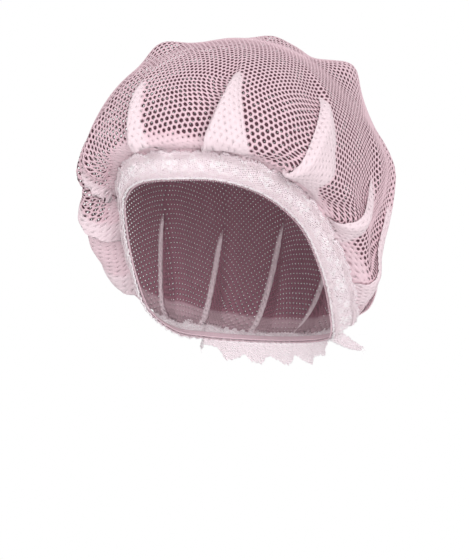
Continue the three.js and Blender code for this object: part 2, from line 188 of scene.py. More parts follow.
# Motifs, with heights above the lower edge: roses, a leaf on each side of them, daisies and a stem
MOTIF_REPEAT = 34.0
ROSE_HEIGHT = 11.5
ROSE_RADIUS = 5.6
ROSE_WAVE = 1.3
ROSE_RING = 2.7
LEAF_SIDE = 11.5
LEAF_HEIGHT = 8.0
LEAF_LEAN = 35.0
LEAF_HALF = (4.8, 2.1)
DAISY_HEIGHT = 14.0
DAISY_RADIUS = 3.2
DAISY_WAVE = 0.7
DAISY_EYE = 1.5
STEM_HEIGHT = 4.4
STEM_WAVE = (1.1, 17.0)
EDGE_ROW = 1.8
# Upper edge: scallops, the band's ends, and how the edge stands off the net
SCALLOP_LENGTH = 17.0
SCALLOP_RISE = 2.2
BAND_END_LENGTH = 9.0
BAND_END_RISE = 1.2
EDGE_LIFT = 0.35
EDGE_LIFT_START = 5.0
EDGE_LIFT_LENGTH = 6.0
# Front lace: its distance off the net, and the height and length of its puckers and swells
FRONT_REST = 0.25
PUCKER = (0.42, 6.3)
PUCKER_DRIFT = (1.7, 41.0)
PUCKER_REACH = 6.0
SWELL = (0.45, 23.0)
SLANTED_SWELL = (0.3, 57.0)
# Nape frill; its gather is its cloth per worn length
NAPE_REST = 0.3
FRILL_DROP = 9.0
FRILL_HEM = 1.3
FRILL_FLARE = 5.0
FRILL_RUFFLE = (2.6, 21.0)
SMALL_RUFFLE = (0.8, 9.7)
FRILL_UNEVEN = (0.12, 21.0)
NAPE_GATHERS = (0.55, 4.6)
NAPE_GATHERS_HEIGHT = 3.0
NAPE_GATHERS_REACH = 8.0
FRILL_GATHER = 1.35
FRILL_TAPER = 26.0

# Elastic on the inner side of the lace; the rib's share is the height of its valleys
ELASTIC_INSET = 1.0
ELASTIC_WIDTH = 5.0
ELASTIC_HALF = 0.4
ELASTIC_DEPTH = 1.3
ELASTIC_STEP = 0.75
ELASTIC_SAMPLES = 13
ELASTIC_END = 0.4
RIB_SHARE = 0.72
KNIT_SHARE = 0.1
# Picot loops below it
PICOT_PITCH = 1.6
PICOT_HALF = 0.52
PICOT_DROP = 1.1
PICOT_RISE = 0.9
PICOT_DEPTH = 0.55
PICOT_RADIUS = 0.21
PICOT_START = 1.2
# Threads; the seam's rows lie below the lace's upper edge, the elastic's above its lower edge
THREAD_RADIUS = 0.2
THREAD_LIFT = 0.3
SEAM_ROWS = (5.6, 3.2)
SEAM_PITCH = 1.9
SEAM_STEP = 1.2
ELASTIC_ROWS = (1.6, 5.2)
ELASTIC_PITCH = 2.3

# Bar tacks, their height as a share of the lace's width, and the threads inside as shares of their own
TACK_LENGTH = 7.0
TACK_WIDTH = 2.4
TACK_SHARE = 0.62
TACK_OUT = 1.35
TACK_PASSES = 15
TACK_BOW = 0.25
TACK_THREAD = 0.3
CORE_SHARES = (-0.35, 0, 0.35)
CORE_DEPTH = 0.2
# Whip stitches that hold the loose lace end: their share of its width, pitch and reach off the lace
WHIP_SHARE = 0.9
WHIP_PITCH = 1.1
WHIP_REACH = (1.2, 1.9)
# Loose lace ends: length, widths, height on the lace, distance off it, heading, curl, droop and ripple
END_LENGTH = 24.0
END_WIDTH = 13.0
END_TIP = 5.0
END_SHARE = 0.45
END_OUT = 3.1
END_HEADING_SHARES = (0.85, 0.53)
END_CURL_SHARE = 0.22
END_DROOP_SHARE = 0.09
END_RIPPLE = (0.8, 1.0)
# Rolled hem at their root
HEM_RADIUS = 0.45
HEM_SHIFT = 0.25
HEM_SAMPLES = 14
# Frayed threads at their tip
FRAY_COUNT = 9
FRAY_INSET = 1.0
FRAY_EDGE = 0.5
FRAY_LENGTHS = (1.5, 4.5)
FRAY_RADIUS = 0.14
FRAY_STRAY = (1.2, 1.0)

# Sampling of the smooth surface
AZIMUTH_SAMPLES = 720
PATH_SAMPLES = 70
PATH_ROWS = 161
PANEL_SAMPLES = 150
NORMAL_SMOOTHINGS = 3

# Depth of the yarns' fibre bump, in metres
BUMP_DEPTH = 0.0004

# Studio, in metres and watts: light from all round, each lamp's name, place, size and power, and the floor
AMBIENT = 0.55
LAMPS = (
    ("key", (-0.9, -1.9, 1.0), 1.2, 19),
    ("fill", (1.6, -1.6, 0.3), 1.5, 30),
    ("back", (0.4, 1.9, 1.3), 1.2, 10),
)
LAMP_TARGET = (0, 0, 0.04)
FLOOR_RADIUS = 1.3
FLOOR_HEIGHT = -0.45
# Camera at azimuth 25 of the picture: metres for its place and target, millimetres for sensor and lens
CAMERA_PLACE = (0.5748, -1.2216, -0.010)
CAMERA_TARGET = (0, 0.011, -0.010)
CAMERA_SENSOR = 36
CAMERA_LENS = 124.9
CAMERA_SHIFT = -2.5 / 560


def smooth(value):
    """A smooth step from 0 to 1."""
    t = np.clip(value, 0, 1)
    return t * t * (3 - 2 * t)


def wave(values, shape, start=0.0):
    """A sine wave over the values; its shape is its height and its length."""
    height, length = shape
    return height * np.sin(2 * math.pi * values / length + start)


def wrap(degrees):
    """The same angles from -180 to 180."""
    return (degrees + 180) % 360 - 180


def unit(vectors):
    """The vectors with length 1."""
    return vectors / np.maximum(np.linalg.norm(vectors, axis=-1, keepdims=True), 1e-9)


def closed_curve(stations, count):
    """Centripetal spline through the stations and their mirror images."""
    points = np.concatenate([stations, stations[-2:0:-1] * (-1, 1, 1)])
    total = len(points)
    out = []
    for k in range(count):
        place = k / count * total
        start = int(place)
        near = [points[(start + step) % total] for step in (-1, 0, 1, 2)]
        steps = [max(np.linalg.norm(b - a), 1e-6) ** 0.5 for a, b in zip(near, near[1:])]
        knots = np.cumsum([0, *steps])
        at = knots[1] + (place - start) * (knots[2] - knots[1])
        for spans in (((0, 1), (1, 2), (2, 3)), ((0, 2), (1, 3)), ((1, 2),)):
            shares = [(at - knots[first]) / (knots[last] - knots[first]) for first, last in spans]
            near = [a * (1 - share) + b * share for a, b, share in zip(near, near[1:], shares)]
        out.append(near[0])
    return np.array(out)


OPENING_STATIONS = np.array(OPENING_SHARES) * (OPENING_HALF_WIDTH, OPENING_HALF_LENGTH, OPENING_HALF_RISE)


def lace_top_stations():
    """The upper lace edge from the forehead to the nape."""
    outward = OPENING_STATIONS / (OPENING_HALF_WIDTH, OPENING_HALF_LENGTH, 1) * (1, 1, 0)
    lean = np.array(LACE_LEAN_SHARES) * LACE_WIDTH
    return OPENING_STATIONS + unit(outward) * lean[:, :1] + lean * (0, 1, 1)


def line_points(wanted, reached, points):
    """Points at the wanted places of a line, whose own points lie at the reached ones."""
    return np.stack([np.interp(wanted, reached, values) for values in points.T], 1)


def azimuth_tables(*curves):
    """The curves at even azimuths of the first one."""
    first = curves[0]
    turn = np.degrees(np.unwrap(np.arctan2(first[:, 0], BAG_MIDDLE_Y - first[:, 1])))
    turn = np.append(turn, turn[0] + 360)
    wanted = np.where(AZIMUTHS < turn[0], AZIMUTHS + 360, AZIMUTHS)
    return [line_points(wanted, turn, np.concatenate([curve, curve[:1]])) for curve in curves]


AZIMUTHS = np.arange(AZIMUTH_SAMPLES) * 360 / AZIMUTH_SAMPLES
LACE_UPPER, LACE_LOWER = azimuth_tables(
    closed_curve(lace_top_stations(), AZIMUTH_SAMPLES), closed_curve(OPENING_STATIONS, AZIMUTH_SAMPLES)
)
LACE_CLIMB = unit(LACE_UPPER - LACE_LOWER)
LACE_ALONG = unit(np.roll(LACE_LOWER, -2, 0) - np.roll(LACE_LOWER, 2, 0))
LACE_OUT = unit(np.cross(LACE_ALONG, LACE_CLIMB))
LACE_OUT *= np.sign(np.sum(LACE_OUT * LACE_LOWER * (1, 1, 0), 1, keepdims=True))
BAG_MIDDLE = np.array((0, BAG_MIDDLE_Y, BAG_MIDDLE_Z))
POLE = np.array((0, CROWN_Y))


def round_rows(azimuths):
    """A table's rows on both sides of the azimuths, and the share of the way to the second one."""
    place = (np.asarray(azimuths) % 360) / 360 * AZIMUTH_SAMPLES
    low = np.floor(place).astype(int)
    return low % AZIMUTH_SAMPLES, (low + 1) % AZIMUTH_SAMPLES, (place - low)[..., None]


def round_lookup(table, azimuths):
    """Rows of a table over the azimuths, which closes on itself."""
    low, high, part = round_rows(azimuths)
    return table[low] * (1 - part) + table[high] * part


def mix_round(values, turns, blend):
    """Values for the front, the side and the back, blended round the net."""
    front, side, back = values
    facing = np.cos(turns)
    return side + (front - side) * smooth(facing) + (back - side) * smooth(-facing * blend)


def bag_paths():
    """The unpleated net's path at each azimuth, from its tucked edge behind the lace to the crown."""
    turns = np.radians(AZIMUTHS)
    foot = LACE_UPPER + LACE_CLIMB * FOOT_GAP - LACE_OUT * TUCK_DEPTH / 2
    reach = np.where(np.cos(turns) > 0, BAG_FRONT, BAG_BACK)
    waist = np.stack([
        BAG_HALF_WIDTH * np.sin(turns),
        BAG_MIDDLE_Y - reach * np.cos(turns),
        mix_round(WAIST, turns, 1),
    ], 1)
    arc = np.linspace(0, math.pi / 2, PATH_SAMPLES)
    across = np.cos(arc)
    across[-1] = 0

    def arch(end, squareness):
        """The path from the waist to one of its ends."""
        power = 2 / mix_round(squareness, turns, BACKWARD_BLEND)[:, None]
        points = np.empty((AZIMUTH_SAMPLES, PATH_SAMPLES, 3))
        points[..., :2] = end[:, None, :2] + (waist - end)[:, None, :2] * (across**power)[..., None]
        points[..., 2] = waist[:, None, 2] + (end - waist)[:, None, 2] * np.sin(arc) ** power
        return points

    crown = np.tile((*POLE, CROWN_HEIGHT), (AZIMUTH_SAMPLES, 1))
    low, high = arch(foot, LOWER_SQUARENESS), arch(crown, UPPER_SQUARENESS)
    tuck = LACE_UPPER - LACE_CLIMB * TUCK - LACE_OUT * HEM_DEPTH
    edge = LACE_UPPER - LACE_OUT * TUCK_DEPTH
    return np.concatenate([tuck[:, None], edge[:, None], low[:, ::-1], high[:, 1:]], 1)


def base_surface(path):
    """Even points on the paths with their normals and radii about the crown, and the paths' lengths."""
    steps = np.linalg.norm(np.diff(path, axis=1), axis=2)
    reached = np.concatenate([np.zeros((AZIMUTH_SAMPLES, 1)), np.cumsum(steps, 1)], 1)
    points = np.stack([
        line_points(np.linspace(0, way[-1], PATH_ROWS), way, line) for way, line in zip(reached, path)
    ])
    around = np.roll(points, -1, 0) - np.roll(points, 1, 0)
    normals = unit(np.cross(around, np.gradient(points, axis=1)))
    normals[:, -1] = (0, 0, 1)
    outward = np.sum(normals * (points - BAG_MIDDLE), 2, keepdims=True)
    normals = np.where(outward < 0, -normals, normals)
    for _ in range(NORMAL_SMOOTHINGS):
        normals[:, 1:-1] = unit(normals[:, :-2] + 2 * normals[:, 1:-1] + normals[:, 2:])
    radii = np.linalg.norm(points[..., :2] - POLE, axis=2, keepdims=True)
    return np.concatenate([points, normals, radii], 2), reached[:, -1]


BASE, BASE_LENGTHS = base_surface(bag_paths())


def path_length(azimuths):
    """Length of the net's path from its tucked edge to the crown."""
    return round_lookup(BASE_LENGTHS[:, None], azimuths)[..., 0]


def base_lookup(azimuths, crown_distances):
    """Point, normal, radius, climb and path length at azimuths and distances down from the crown."""
    low, high, across = round_rows(azimuths)
    lengths = path_length(azimuths)
    up = np.clip(1 - crown_distances / lengths, 0, 1)
    row = up * (PATH_ROWS - 1)
    below = np.minimum(row.astype(int), PATH_ROWS - 2)
    part = (row - below)[:, None]
    near, far = (BASE[side, below] * (1 - part) + BASE[side, below + 1] * part for side in (low, high))
    found = near * (1 - across) + far * across
    climb = (up * lengths - TUCK) / (lengths - TUCK)
    return found[:, :3], unit(found[:, 3:6]), found[:, 6], climb, lengths


def edge_azimuth(foot, head, height_share, climb):
    """Azimuth of a pleat's folded edge at a climb."""
    return foot + (head - foot) * np.clip(climb / height_share, 0, EDGE_RUN_SHARE)


def cloth_lift(azimuths, climb, radii):
    """How far pleats and puffs lift the cloth off its smooth shape."""
    height = np.zeros_like(azimuths)
    for azimuth, puff_climb, lift, spread, climb_spread in PUFFS:
        off = wrap(azimuths - azimuth) / spread
        height += lift * np.exp(-(off**2) - ((climb - puff_climb) / climb_spread) ** 2)
    fade_start, fade_length = PLEAT_FADE_SHARES
    for foot, head, width_share, height_share, lift_share in PLEATS:
        past = np.radians(wrap(azimuths - edge_azimuth(foot, head, height_share, climb))) * radii
        fall = PLEAT_WIDTH * width_share * RIDGE_FALL_SHARE
        faded = smooth((climb - height_share * fade_start) / (height_share * fade_length))
        grown = smooth(climb / PLEAT_START) * (1 - faded)
        ridge = smooth((past + RIDGE_HALF) / RIDGE_RISE) * np.exp(-np.maximum(past - RIDGE_HALF, 0) / fall)
        furrow = FURROW_SHARE * np.exp(-(((past + FURROW_PLACE) / FURROW_WIDTH) ** 2))
        height += PLEAT_LIFT * lift_share * grown * (ridge - furrow)
    return height


def flat_distance(distances, lengths):
    """Distance from the crown in the flat cloth, which is stretched lengthwise towards the seam."""
    past = np.maximum(distances - STRETCH_START, 0)
    return distances - LENGTH_STRETCH_SHARE * past**2 / (2 * (lengths - STRETCH_START))


def worn_distance(flat, lengths):
    """The other way round: distance on the worn net from that in the flat cloth."""
    past = np.maximum(flat - STRETCH_START, 0)
    share = LENGTH_STRETCH_SHARE / (2 * (lengths - STRETCH_START))
    root = np.sqrt(np.maximum(1 - 4 * share * past, 0))
    return np.where(past > 0, STRETCH_START + (1 - root) / (2 * share), flat)


class Panel:
    """Cloth between two folded pleat edges, tabulated over the distance from the crown.

    Its columns are the azimuth where it starts, the azimuths in the flat cloth where it starts and ends,
    its radius about the crown, its worn width, the width of each of the two layers folded under the next
    pleat, all three widths together, and the share of the flat cloth that isn't folded."""

    distances = np.linspace(0, BASE_LENGTHS.max() + 1, PANEL_SAMPLES)
    flat_start_column, hidden_column = 1, 5

    def __init__(self, index):
        after = (index + 1) % len(PLEATS)
        start, flat_start, _ = self.edge(index, 0)
        end, flat_end, climb = self.edge(after, 360 if after == 0 else 0)
        _, _, radius, _, lengths = base_lookup((start + end) / 2, self.distances)
        radius = np.maximum(radius, 0.5)
        arc = np.radians(end - start) * radius
        angle = np.radians(np.maximum(flat_end - flat_start, 1))
        cloth = angle * flat_distance(self.distances, lengths)
        risen = np.maximum(climb, 0) / (FOLD_HEIGHT_SHARE * PLEATS[after][3])
        fold = FOLD_WIDTHS[after] * np.clip(1 - risen, 0, 1) ** FOLD_TAPERS[after]
        spare = np.maximum(cloth - arc * OPEN_CLOTH, 0)
        hidden = np.minimum.reduce([spare / 2, FOLD_WIDTH_SHARE * arc, fold])
        crowded = np.maximum(cloth - 2 * hidden * HIDDEN_CLOTH[after], 0)
        shown = ((arc * OPEN_CLOTH) ** CROWDING_POWER + crowded**CROWDING_POWER) ** (1 / CROWDING_POWER)
        shown = np.clip(shown / np.maximum(cloth, 1e-6), 0.05, 1)
        total = arc + 2 * hidden
        self.columns = np.stack([start, flat_start, flat_end, radius, arc, hidden, total, shown], 1)

    def edge(self, index, turn):
        """Azimuths of a folded edge on the net and in the flat cloth, and its climbs."""
        foot, head, _, height_share, _ = PLEATS[index]
        length = path_length(foot)
        climb = (length - self.distances - TUCK) / (length - TUCK)
        worn = edge_azimuth(foot, head, height_share, climb)
        flat = worn + CLOTH_TURNS[index] * (1 - smooth((climb - TURN_FADE[0]) / TURN_FADE[1]))
        return worn + turn, flat + turn, climb

    def at(self, distances):
        """Its columns at these distances."""
        return line_points(distances, self.distances, self.columns).T


PANELS = [Panel(k) for k in range(len(PLEATS))]
WORN_EDGES = np.array([pleat[0] for pleat in PLEATS] + [pleat[0] + 360 for pleat in PLEATS[:2]], float)
FLAT_EDGES = WORN_EDGES + (*CLOTH_TURNS, *CLOTH_TURNS[:2])


def settle(flat):
    """Where points of the flat cloth come to lie: azimuth, distance from the crown, layer, stack and roll.

    The layer counts from the lowest one there; the stack is the number of layers below the top one."""
    turn = np.degrees(np.arctan2(flat[:, 0], -flat[:, 1]))
    lengths = path_length(np.interp(turn % 360, FLAT_EDGES, WORN_EDGES))
    distance = worn_distance(np.linalg.norm(flat, axis=1), lengths)
    starts = np.stack([panel.at(distance)[panel.flat_start_column] for panel in PANELS])
    turn = (turn - starts[0]) % 360 + starts[0]
    owner = (turn >= starts).sum(0) - 1
    azimuth, layer, stack, roll = np.zeros((4, len(flat)))
    for index, panel in enumerate(PANELS):
        inside = owner == index
        where = distance[inside]
        under = PANELS[index - 1].at(where)[panel.hidden_column]
        start, flat_start, flat_end, radius, arc, hidden, total, shown = panel.at(where)
        share = (turn[inside] - flat_start) / (flat_end - flat_start)
        back = total - (1 - share) / (1.001 - shown) * (total - arc)
        along = np.where(share < shown, share / shown * arc, back)
        turned = arc + hidden
        place = np.where(along <= turned, along, 2 * turned - along)
        azimuth[inside] = start + np.degrees(place / radius)
        full = smooth(hidden / FULL_FOLD)
        over = 2 * smooth(under / FULL_FOLD) * (1 - smooth((along - under) / UNDER_END))
        middle = full * smooth((along - turned) / MIDDLE_STEP + 0.5)
        top = full * smooth((along - total) / TOP_STEP + 1)
        layer[inside] = over + middle + top
        stack[inside] = np.maximum(over, 2 * full * smooth((along - arc) / MIDDLE_STEP))
        start_roll = np.exp(-along / FOLD_ROLL_LENGTH) * smooth(under / FULL_ROLL)
        end_roll = np.exp((along - total) / FOLD_ROLL_LENGTH) * smooth(hidden / FULL_ROLL)
        roll[inside] = np.maximum(start_roll, end_roll * smooth((along - turned) / MIDDLE_STEP))
    return azimuth, distance, layer, stack, roll


def drape(flat):
    """Puts points of the flat cloth on the worn net: place, normal, lift, folded and gathered share."""
    azimuth, distance, layer, stack, roll = settle(flat)
    points, normals, radii, climb, lengths = base_lookup(azimuth, distance)
    gather_azimuths, gather_heights = np.array(SEAM_GATHER).T
    above = climb * (lengths - TUCK) - np.interp(wrap(azimuth), gather_azimuths, gather_heights)
    gathered = 1 - smooth(above / SEAM_GATHER_FADE + 0.5)
    free = smooth(climb / FREE_CLIMB)
    stacked = LAYER * (layer - stack * (1 - free))
    height = cloth_lift(azimuth, climb, radii) + stacked + roll * FOLD_ROLL * free
    return points, normals, height, smooth(layer), gathered


def cell_lattice(side, turn, low, high):
    """Hexagonal cells over a box of flat cloth: the corner points, and which six each cell uses."""
    angles = (math.radians(turn), math.radians(turn + 60))
    a, b = (side * np.array((math.cos(angle), math.sin(angle))) for angle in angles)
    corners = np.array([(x, y) for x in (low[0], high[0]) for y in (low[1], high[1])])
    reach = np.linalg.solve(np.stack([a, b], 1), corners.T)
    first = np.floor(reach.min(1)).astype(int) - 1
    count = np.ceil(reach.max(1)).astype(int) - first + 1
    i, j = np.meshgrid(np.arange(count[0]), np.arange(count[1]), indexing="ij")
    middle = (i + first[0])[..., None] * a + (j + first[1])[..., None] * b
    points = np.stack([middle + (a + b) / 3, middle + (a + b) * 2 / 3], 2).reshape(-1, 2)

    def number(i, j, kind):
        return (i * count[1] + j) * 2 + kind

    i, j = (index[1:, 1:].ravel() for index in (i, j))
    ring = np.stack([
        number(i, j, 0), number(i - 1, j, 1), number(i - 1, j, 0),
        number(i - 1, j - 1, 1), number(i, j - 1, 0), number(i, j - 1, 1),
    ], 1)
    return points, ring


def cell_mesh(points, ring, hole_radius, finer=False):
    """Vertices and triangles of cells with a round hole each, whose edge has more points if it is finer.

    Returns the flat place of each vertex, 1 for the outer ridge, -1 for the inner one and 0 for a hole,
    the triangles of both faces, and the cell of each triangle of a face."""
    used, ring = np.unique(ring, return_inverse=True)
    ring = ring.reshape(-1, 6)
    ridge = points[used]
    aims = ridge[ring]
    centre = aims.mean(1, keepdims=True)
    if finer:
        aims = np.stack([aims, (aims + np.roll(aims, -1, 1)) / 2], 2).reshape(len(ring), -1, 2)
    hole = centre + unit(aims - centre) * hole_radius.reshape(-1, 1, 1)
    ridges = len(ridge)
    holes = 2 * ridges + np.arange(hole.shape[0] * hole.shape[1]).reshape(len(ring), -1)
    flat = np.concatenate([ridge, ridge, hole.reshape(-1, 2)])
    side = np.concatenate([np.ones(ridges), -np.ones(ridges), np.zeros(holes.size)])
    after = np.roll(ring, -1, 1)
    if finer:
        near, between, far = holes[:, ::2], holes[:, 1::2], np.roll(holes[:, ::2], -1, 1)
        corners = [(ring, after, between), (ring, between, near), (after, far, between)]
    else:
        far = np.roll(holes, -1, 1)
        corners = [(ring, after, far), (ring, far, holes)]
    front = np.concatenate([np.stack(three, 2).reshape(-1, 3) for three in corners])
    back = np.where(front < ridges, front + ridges, front)[:, ::-1]
    owner = np.tile(np.repeat(np.arange(len(ring)), 6), len(corners))
    return flat, side, front, back, owner


def rim_walls(front, ridges):
    """Narrow walls that close a cloth mesh between the rims of its outer and inner face."""
    edges = np.concatenate([front[:, [0, 1]], front[:, [1, 2]], front[:, [2, 0]]])
    edges = edges[(edges < ridges).all(1)]
    keys = np.sort(edges, 1) @ (ridges, 1)
    _, first, uses = np.unique(keys, return_index=True, return_counts=True)
    a, b = edges[first[uses == 1]].T
    return np.concatenate([np.stack([b, a, a + ridges], 1), np.stack([b, a + ridges, b + ridges], 1)])


def vertex_normals(points, triangles):
    """Normals of the vertices, by the areas of the triangles round them."""
    a, b, c = (points[triangles[:, k]] for k in range(3))
    face = np.cross(b - a, c - a)
    normals = np.zeros_like(points)
    for k in range(3):
        for axis in range(3):
            normals[:, axis] += np.bincount(triangles[:, k], face[:, axis], len(points))
    return unit(normals)


def mesh_piece(name, points, triangles, materials, slots=None, values=None, flat=None, normals=None):
    """A smooth triangle mesh in metres from points in millimetres, with named point values."""
    mesh = bpy.data.meshes.new(name)
    mesh.from_pydata(points * MM, [], triangles, shade_flat=False)
    if slots is not None:
        mesh.polygons.foreach_set("material_index", slots.astype(np.int32))
    for key, value in (values or {}).items():
        attribute = mesh.attributes.new(key, "FLOAT", "POINT")
        attribute.data.foreach_set("value", value.astype(np.float32))
    if flat is not None:
        layer = mesh.uv_layers.new(name="OFBake")
        layer.data.foreach_set("uv", flat.astype(np.float32).ravel())
    mesh.validate()
    if normals is not None:
        mesh.normals_split_custom_set(normals.reshape(-1, 3))
    for material in materials:
        mesh.materials.append(material)
    piece = bpy.data.objects.new(name, mesh)
    bpy.context.scene.collection.objects.link(piece)
    return piece


def joined(parts):
    """The points and the triangles of all parts."""
    starts = np.cumsum([0] + [len(points) for points, _ in parts])
    triangles = [corners + start for (_, corners), start in zip(parts, starts)]
    return np.concatenate([points for points, _ in parts]), np.concatenate(triangles)


def bake_map(flat, triangles, front_count):
    """Texture places from the flat cloth: outer faces in the left half, inner faces in the right."""
    low, high = flat.min(0), flat.max(0)
    share = (flat - low) / (high - low)
    corners = share[triangles].astype(float)
    corners[..., 0] = 0.005 + corners[..., 0] * 0.48
    corners[front_count:, :, 0] += 0.505
    corners[..., 1] = 0.005 + corners[..., 1] * 0.99
    return corners.reshape(-1, 2)


def net_cells():
    """The net's cells in the flat cloth, and the noise that makes them uneven."""
    reach = BASE_LENGTHS.max() + CELL_SIDE
    points, ring = cell_lattice(CELL_SIDE, ROW_TURN, (-reach, -reach), (reach, reach))
    azimuth, distance, *_ = settle(points[ring].mean(1))
    ring = ring[distance < path_length(azimuth) - CELL_SIDE / 3]
    noise = np.random.default_rng(7)
    place, _, _, folded, gathered = drape(points[ring].mean(1))
    slack = smooth((place[:, 1] - SLACK_START) / SLACK_LENGTH)
    closing = np.maximum.reduce([FOLD_CLOSING * folded, SEAM_CLOSING * gathered, SLACK_CLOSING * slack])
    holes = HOLE_RADIUS * noise.uniform(1 - HOLE_UNEVEN, 1 + HOLE_UNEVEN, len(ring)) * (1 - closing)
    return cell_mesh(points, ring, holes, True), noise


def level_shading(points, rounded, faces, closed):
    """Normals of the faces' corners: rounded over the strands, level with the face where cells close."""
    share = FOLD_LEVELLING * closed[faces][..., None]
    return unit(rounded[faces] * (1 - share) + vertex_normals(points, faces)[faces] * share)


def crown_net(materials):
    """The net's cloth in three sectors: each piece, its corners in the flat cloth and its cells."""
    (flat, side, front, back, owner), noise = net_cells()
    place, normals, height, folded, gathered = drape(flat + noise.normal(0, STRAND_UNEVEN, flat.shape))
    closed = np.maximum(folded, gathered)
    # Share by which the yarn is painted paler: partly the look of doubled cloth, partly a painted
    # highlight; full where folded, less where gathered
    pale = np.maximum(folded, SEAM_PALENESS * gathered)
    rise = np.where(side > 0, STRAND_RISE, np.where(side < 0, -INNER_RISE_SHARE * STRAND_RISE, 0))
    rise = rise * (1 - FOLD_FLATTENING * closed)
    middle = place + normals * height[:, None]
    points = middle + vertex_normals(middle, np.concatenate([front, back[:, ::-1]])) * rise[:, None]
    shading = vertex_normals(points, np.concatenate([front, back]))
    front_shading, back_shading = (level_shading(points, shading, faces, closed) for faces in (front, back))
    first = flat[front[:, 0]][np.unique(owner, return_index=True)[1]]
    turn = np.degrees(np.arctan2(first[:, 0], -first[:, 1]))
    sector = np.where(np.abs(turn) < FRONT_SECTOR, 0, np.where(turn > 0, 1, 2))
    # Share for the painted shade round the holes: full at each hole's edge, fading where cloth is folded or
    # gathered
    hole = (side == 0) * (1 - pale)
    pieces = []
    for number, name in enumerate(("crown_net_front", "crown_net_left", "crown_net_right")):
        chosen = (sector == number)[owner]
        walls = rim_walls(front[chosen], int((side > 0).sum()))
        mine = np.concatenate([front[chosen], walls, back[chosen]])
        outer = int(chosen.sum()) + len(walls)
        used, corner = np.unique(mine, return_inverse=True)
        normals = np.concatenate([front_shading[chosen], shading[walls], back_shading[chosen]])
        piece = mesh_piece(
            name, points[used], corner.reshape(-1, 3), materials, np.arange(len(mine)) >= outer,
            {"hole": hole[used], "folded": pale[used]}, bake_map(flat, mine, outer), normals,
        )
        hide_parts("crown_net")
        cloth = flat[used]
        pieces.append((piece, (cloth.min(0), cloth.max(0)), int((sector == number).sum())))
    return pieces


class Band:
    """The lace band between two azimuths, measured in millimetres along its middle line."""

    def __init__(self, first, last):
        self.azimuths = np.linspace(first, last, 2000)
        middle = round_lookup((LACE_LOWER + LACE_UPPER) / 2, self.azimuths)
        steps = np.linalg.norm(np.diff(middle, axis=0), axis=1)
        self.reached = np.concatenate([[0], np.cumsum(steps)])
        self.length = self.reached[-1]

    def frame(self, u):
        """Lower edge, directions up and out, width and azimuth at distances along the band."""
        azimuth = np.interp(u, self.reached, self.azimuths)
        lower, upper = (round_lookup(table, azimuth) for table in (LACE_LOWER, LACE_UPPER))
        width = np.linalg.norm(upper - lower, axis=-1)
        return lower, unit(upper - lower), unit(round_lookup(LACE_OUT, azimuth)), width, azimuth


FRONT = Band(-CORNER_ANGLE - LACE_OVERLAP, CORNER_ANGLE + LACE_OVERLAP)
NAPE = Band(CORNER_ANGLE - LACE_OVERLAP, 360 - CORNER_ANGLE + LACE_OVERLAP)


def lace_pattern(u, v, top):
    """Share of solid stitches: 0 in the ground, 1 in flowers, leaves, stems and edge rows."""
    x = (u + MOTIF_REPEAT / 2) % MOTIF_REPEAT - MOTIF_REPEAT / 2
    radius, turn = np.hypot(x, v - ROSE_HEIGHT), np.arctan2(v - ROSE_HEIGHT, x)
    rose = smooth(ROSE_RADIUS + ROSE_WAVE * np.cos(5 * turn + 0.6) - radius)
    rose *= 1 - 0.9 * smooth(1 - np.abs(radius - ROSE_RING))
    gaps = smooth(1 - np.abs(np.sin(2.5 * turn + 0.3)) * radius)
    rose *= 1 - 0.8 * gaps * smooth(radius - ROSE_RING + 0.1)
    shapes = [rose]
    for side in (-1, 1):
        dx, dy, lean = x - side * LEAF_SIDE, v - LEAF_HEIGHT, math.radians(side * LEAF_LEAN)
        length = (dx * math.cos(lean) + dy * math.sin(lean)) / LEAF_HALF[0]
        across = (dy * math.cos(lean) - dx * math.sin(lean)) / LEAF_HALF[1]
        leaf = smooth(1.5 - 1.5 * np.hypot(length, across))
        shapes.append(leaf * (1 - 0.8 * smooth(1 - np.abs(across) / 0.3)))
    dx, dy = MOTIF_REPEAT / 2 - np.abs(x), v - DAISY_HEIGHT
    radius, turn = np.hypot(dx, dy), np.arctan2(dy, dx)
    daisy = smooth(DAISY_RADIUS + DAISY_WAVE * np.cos(6 * turn) - radius)
    shapes.append(daisy * (1 - smooth(DAISY_EYE - radius)))
    shapes.append(0.9 * smooth(1 - np.abs(v - STEM_HEIGHT - wave(u, STEM_WAVE))))
    shapes.append(smooth(EDGE_ROW - v) * smooth(v + 1.5))
    shapes.append(0.4 * smooth(EDGE_ROW + 0.1 - (top - v)))
    return np.maximum.reduce(shapes)


def lace_fluff(u, v, noise):
    """Small swirling loops that stand off the lace, from -1 to 1, by a few seeded waves."""
    rise = np.zeros_like(u)
    for length in FLUFF_LENGTHS:
        turn, bend, start = noise.uniform(0, 2 * math.pi, 3)
        across = u * math.cos(turn) + v * math.sin(turn)
        along = v * math.cos(turn) - u * math.sin(turn)
        rise += wave(across + 0.9 * np.sin(along / 2.1 + bend), (1, length), start)
    return rise / 3.5


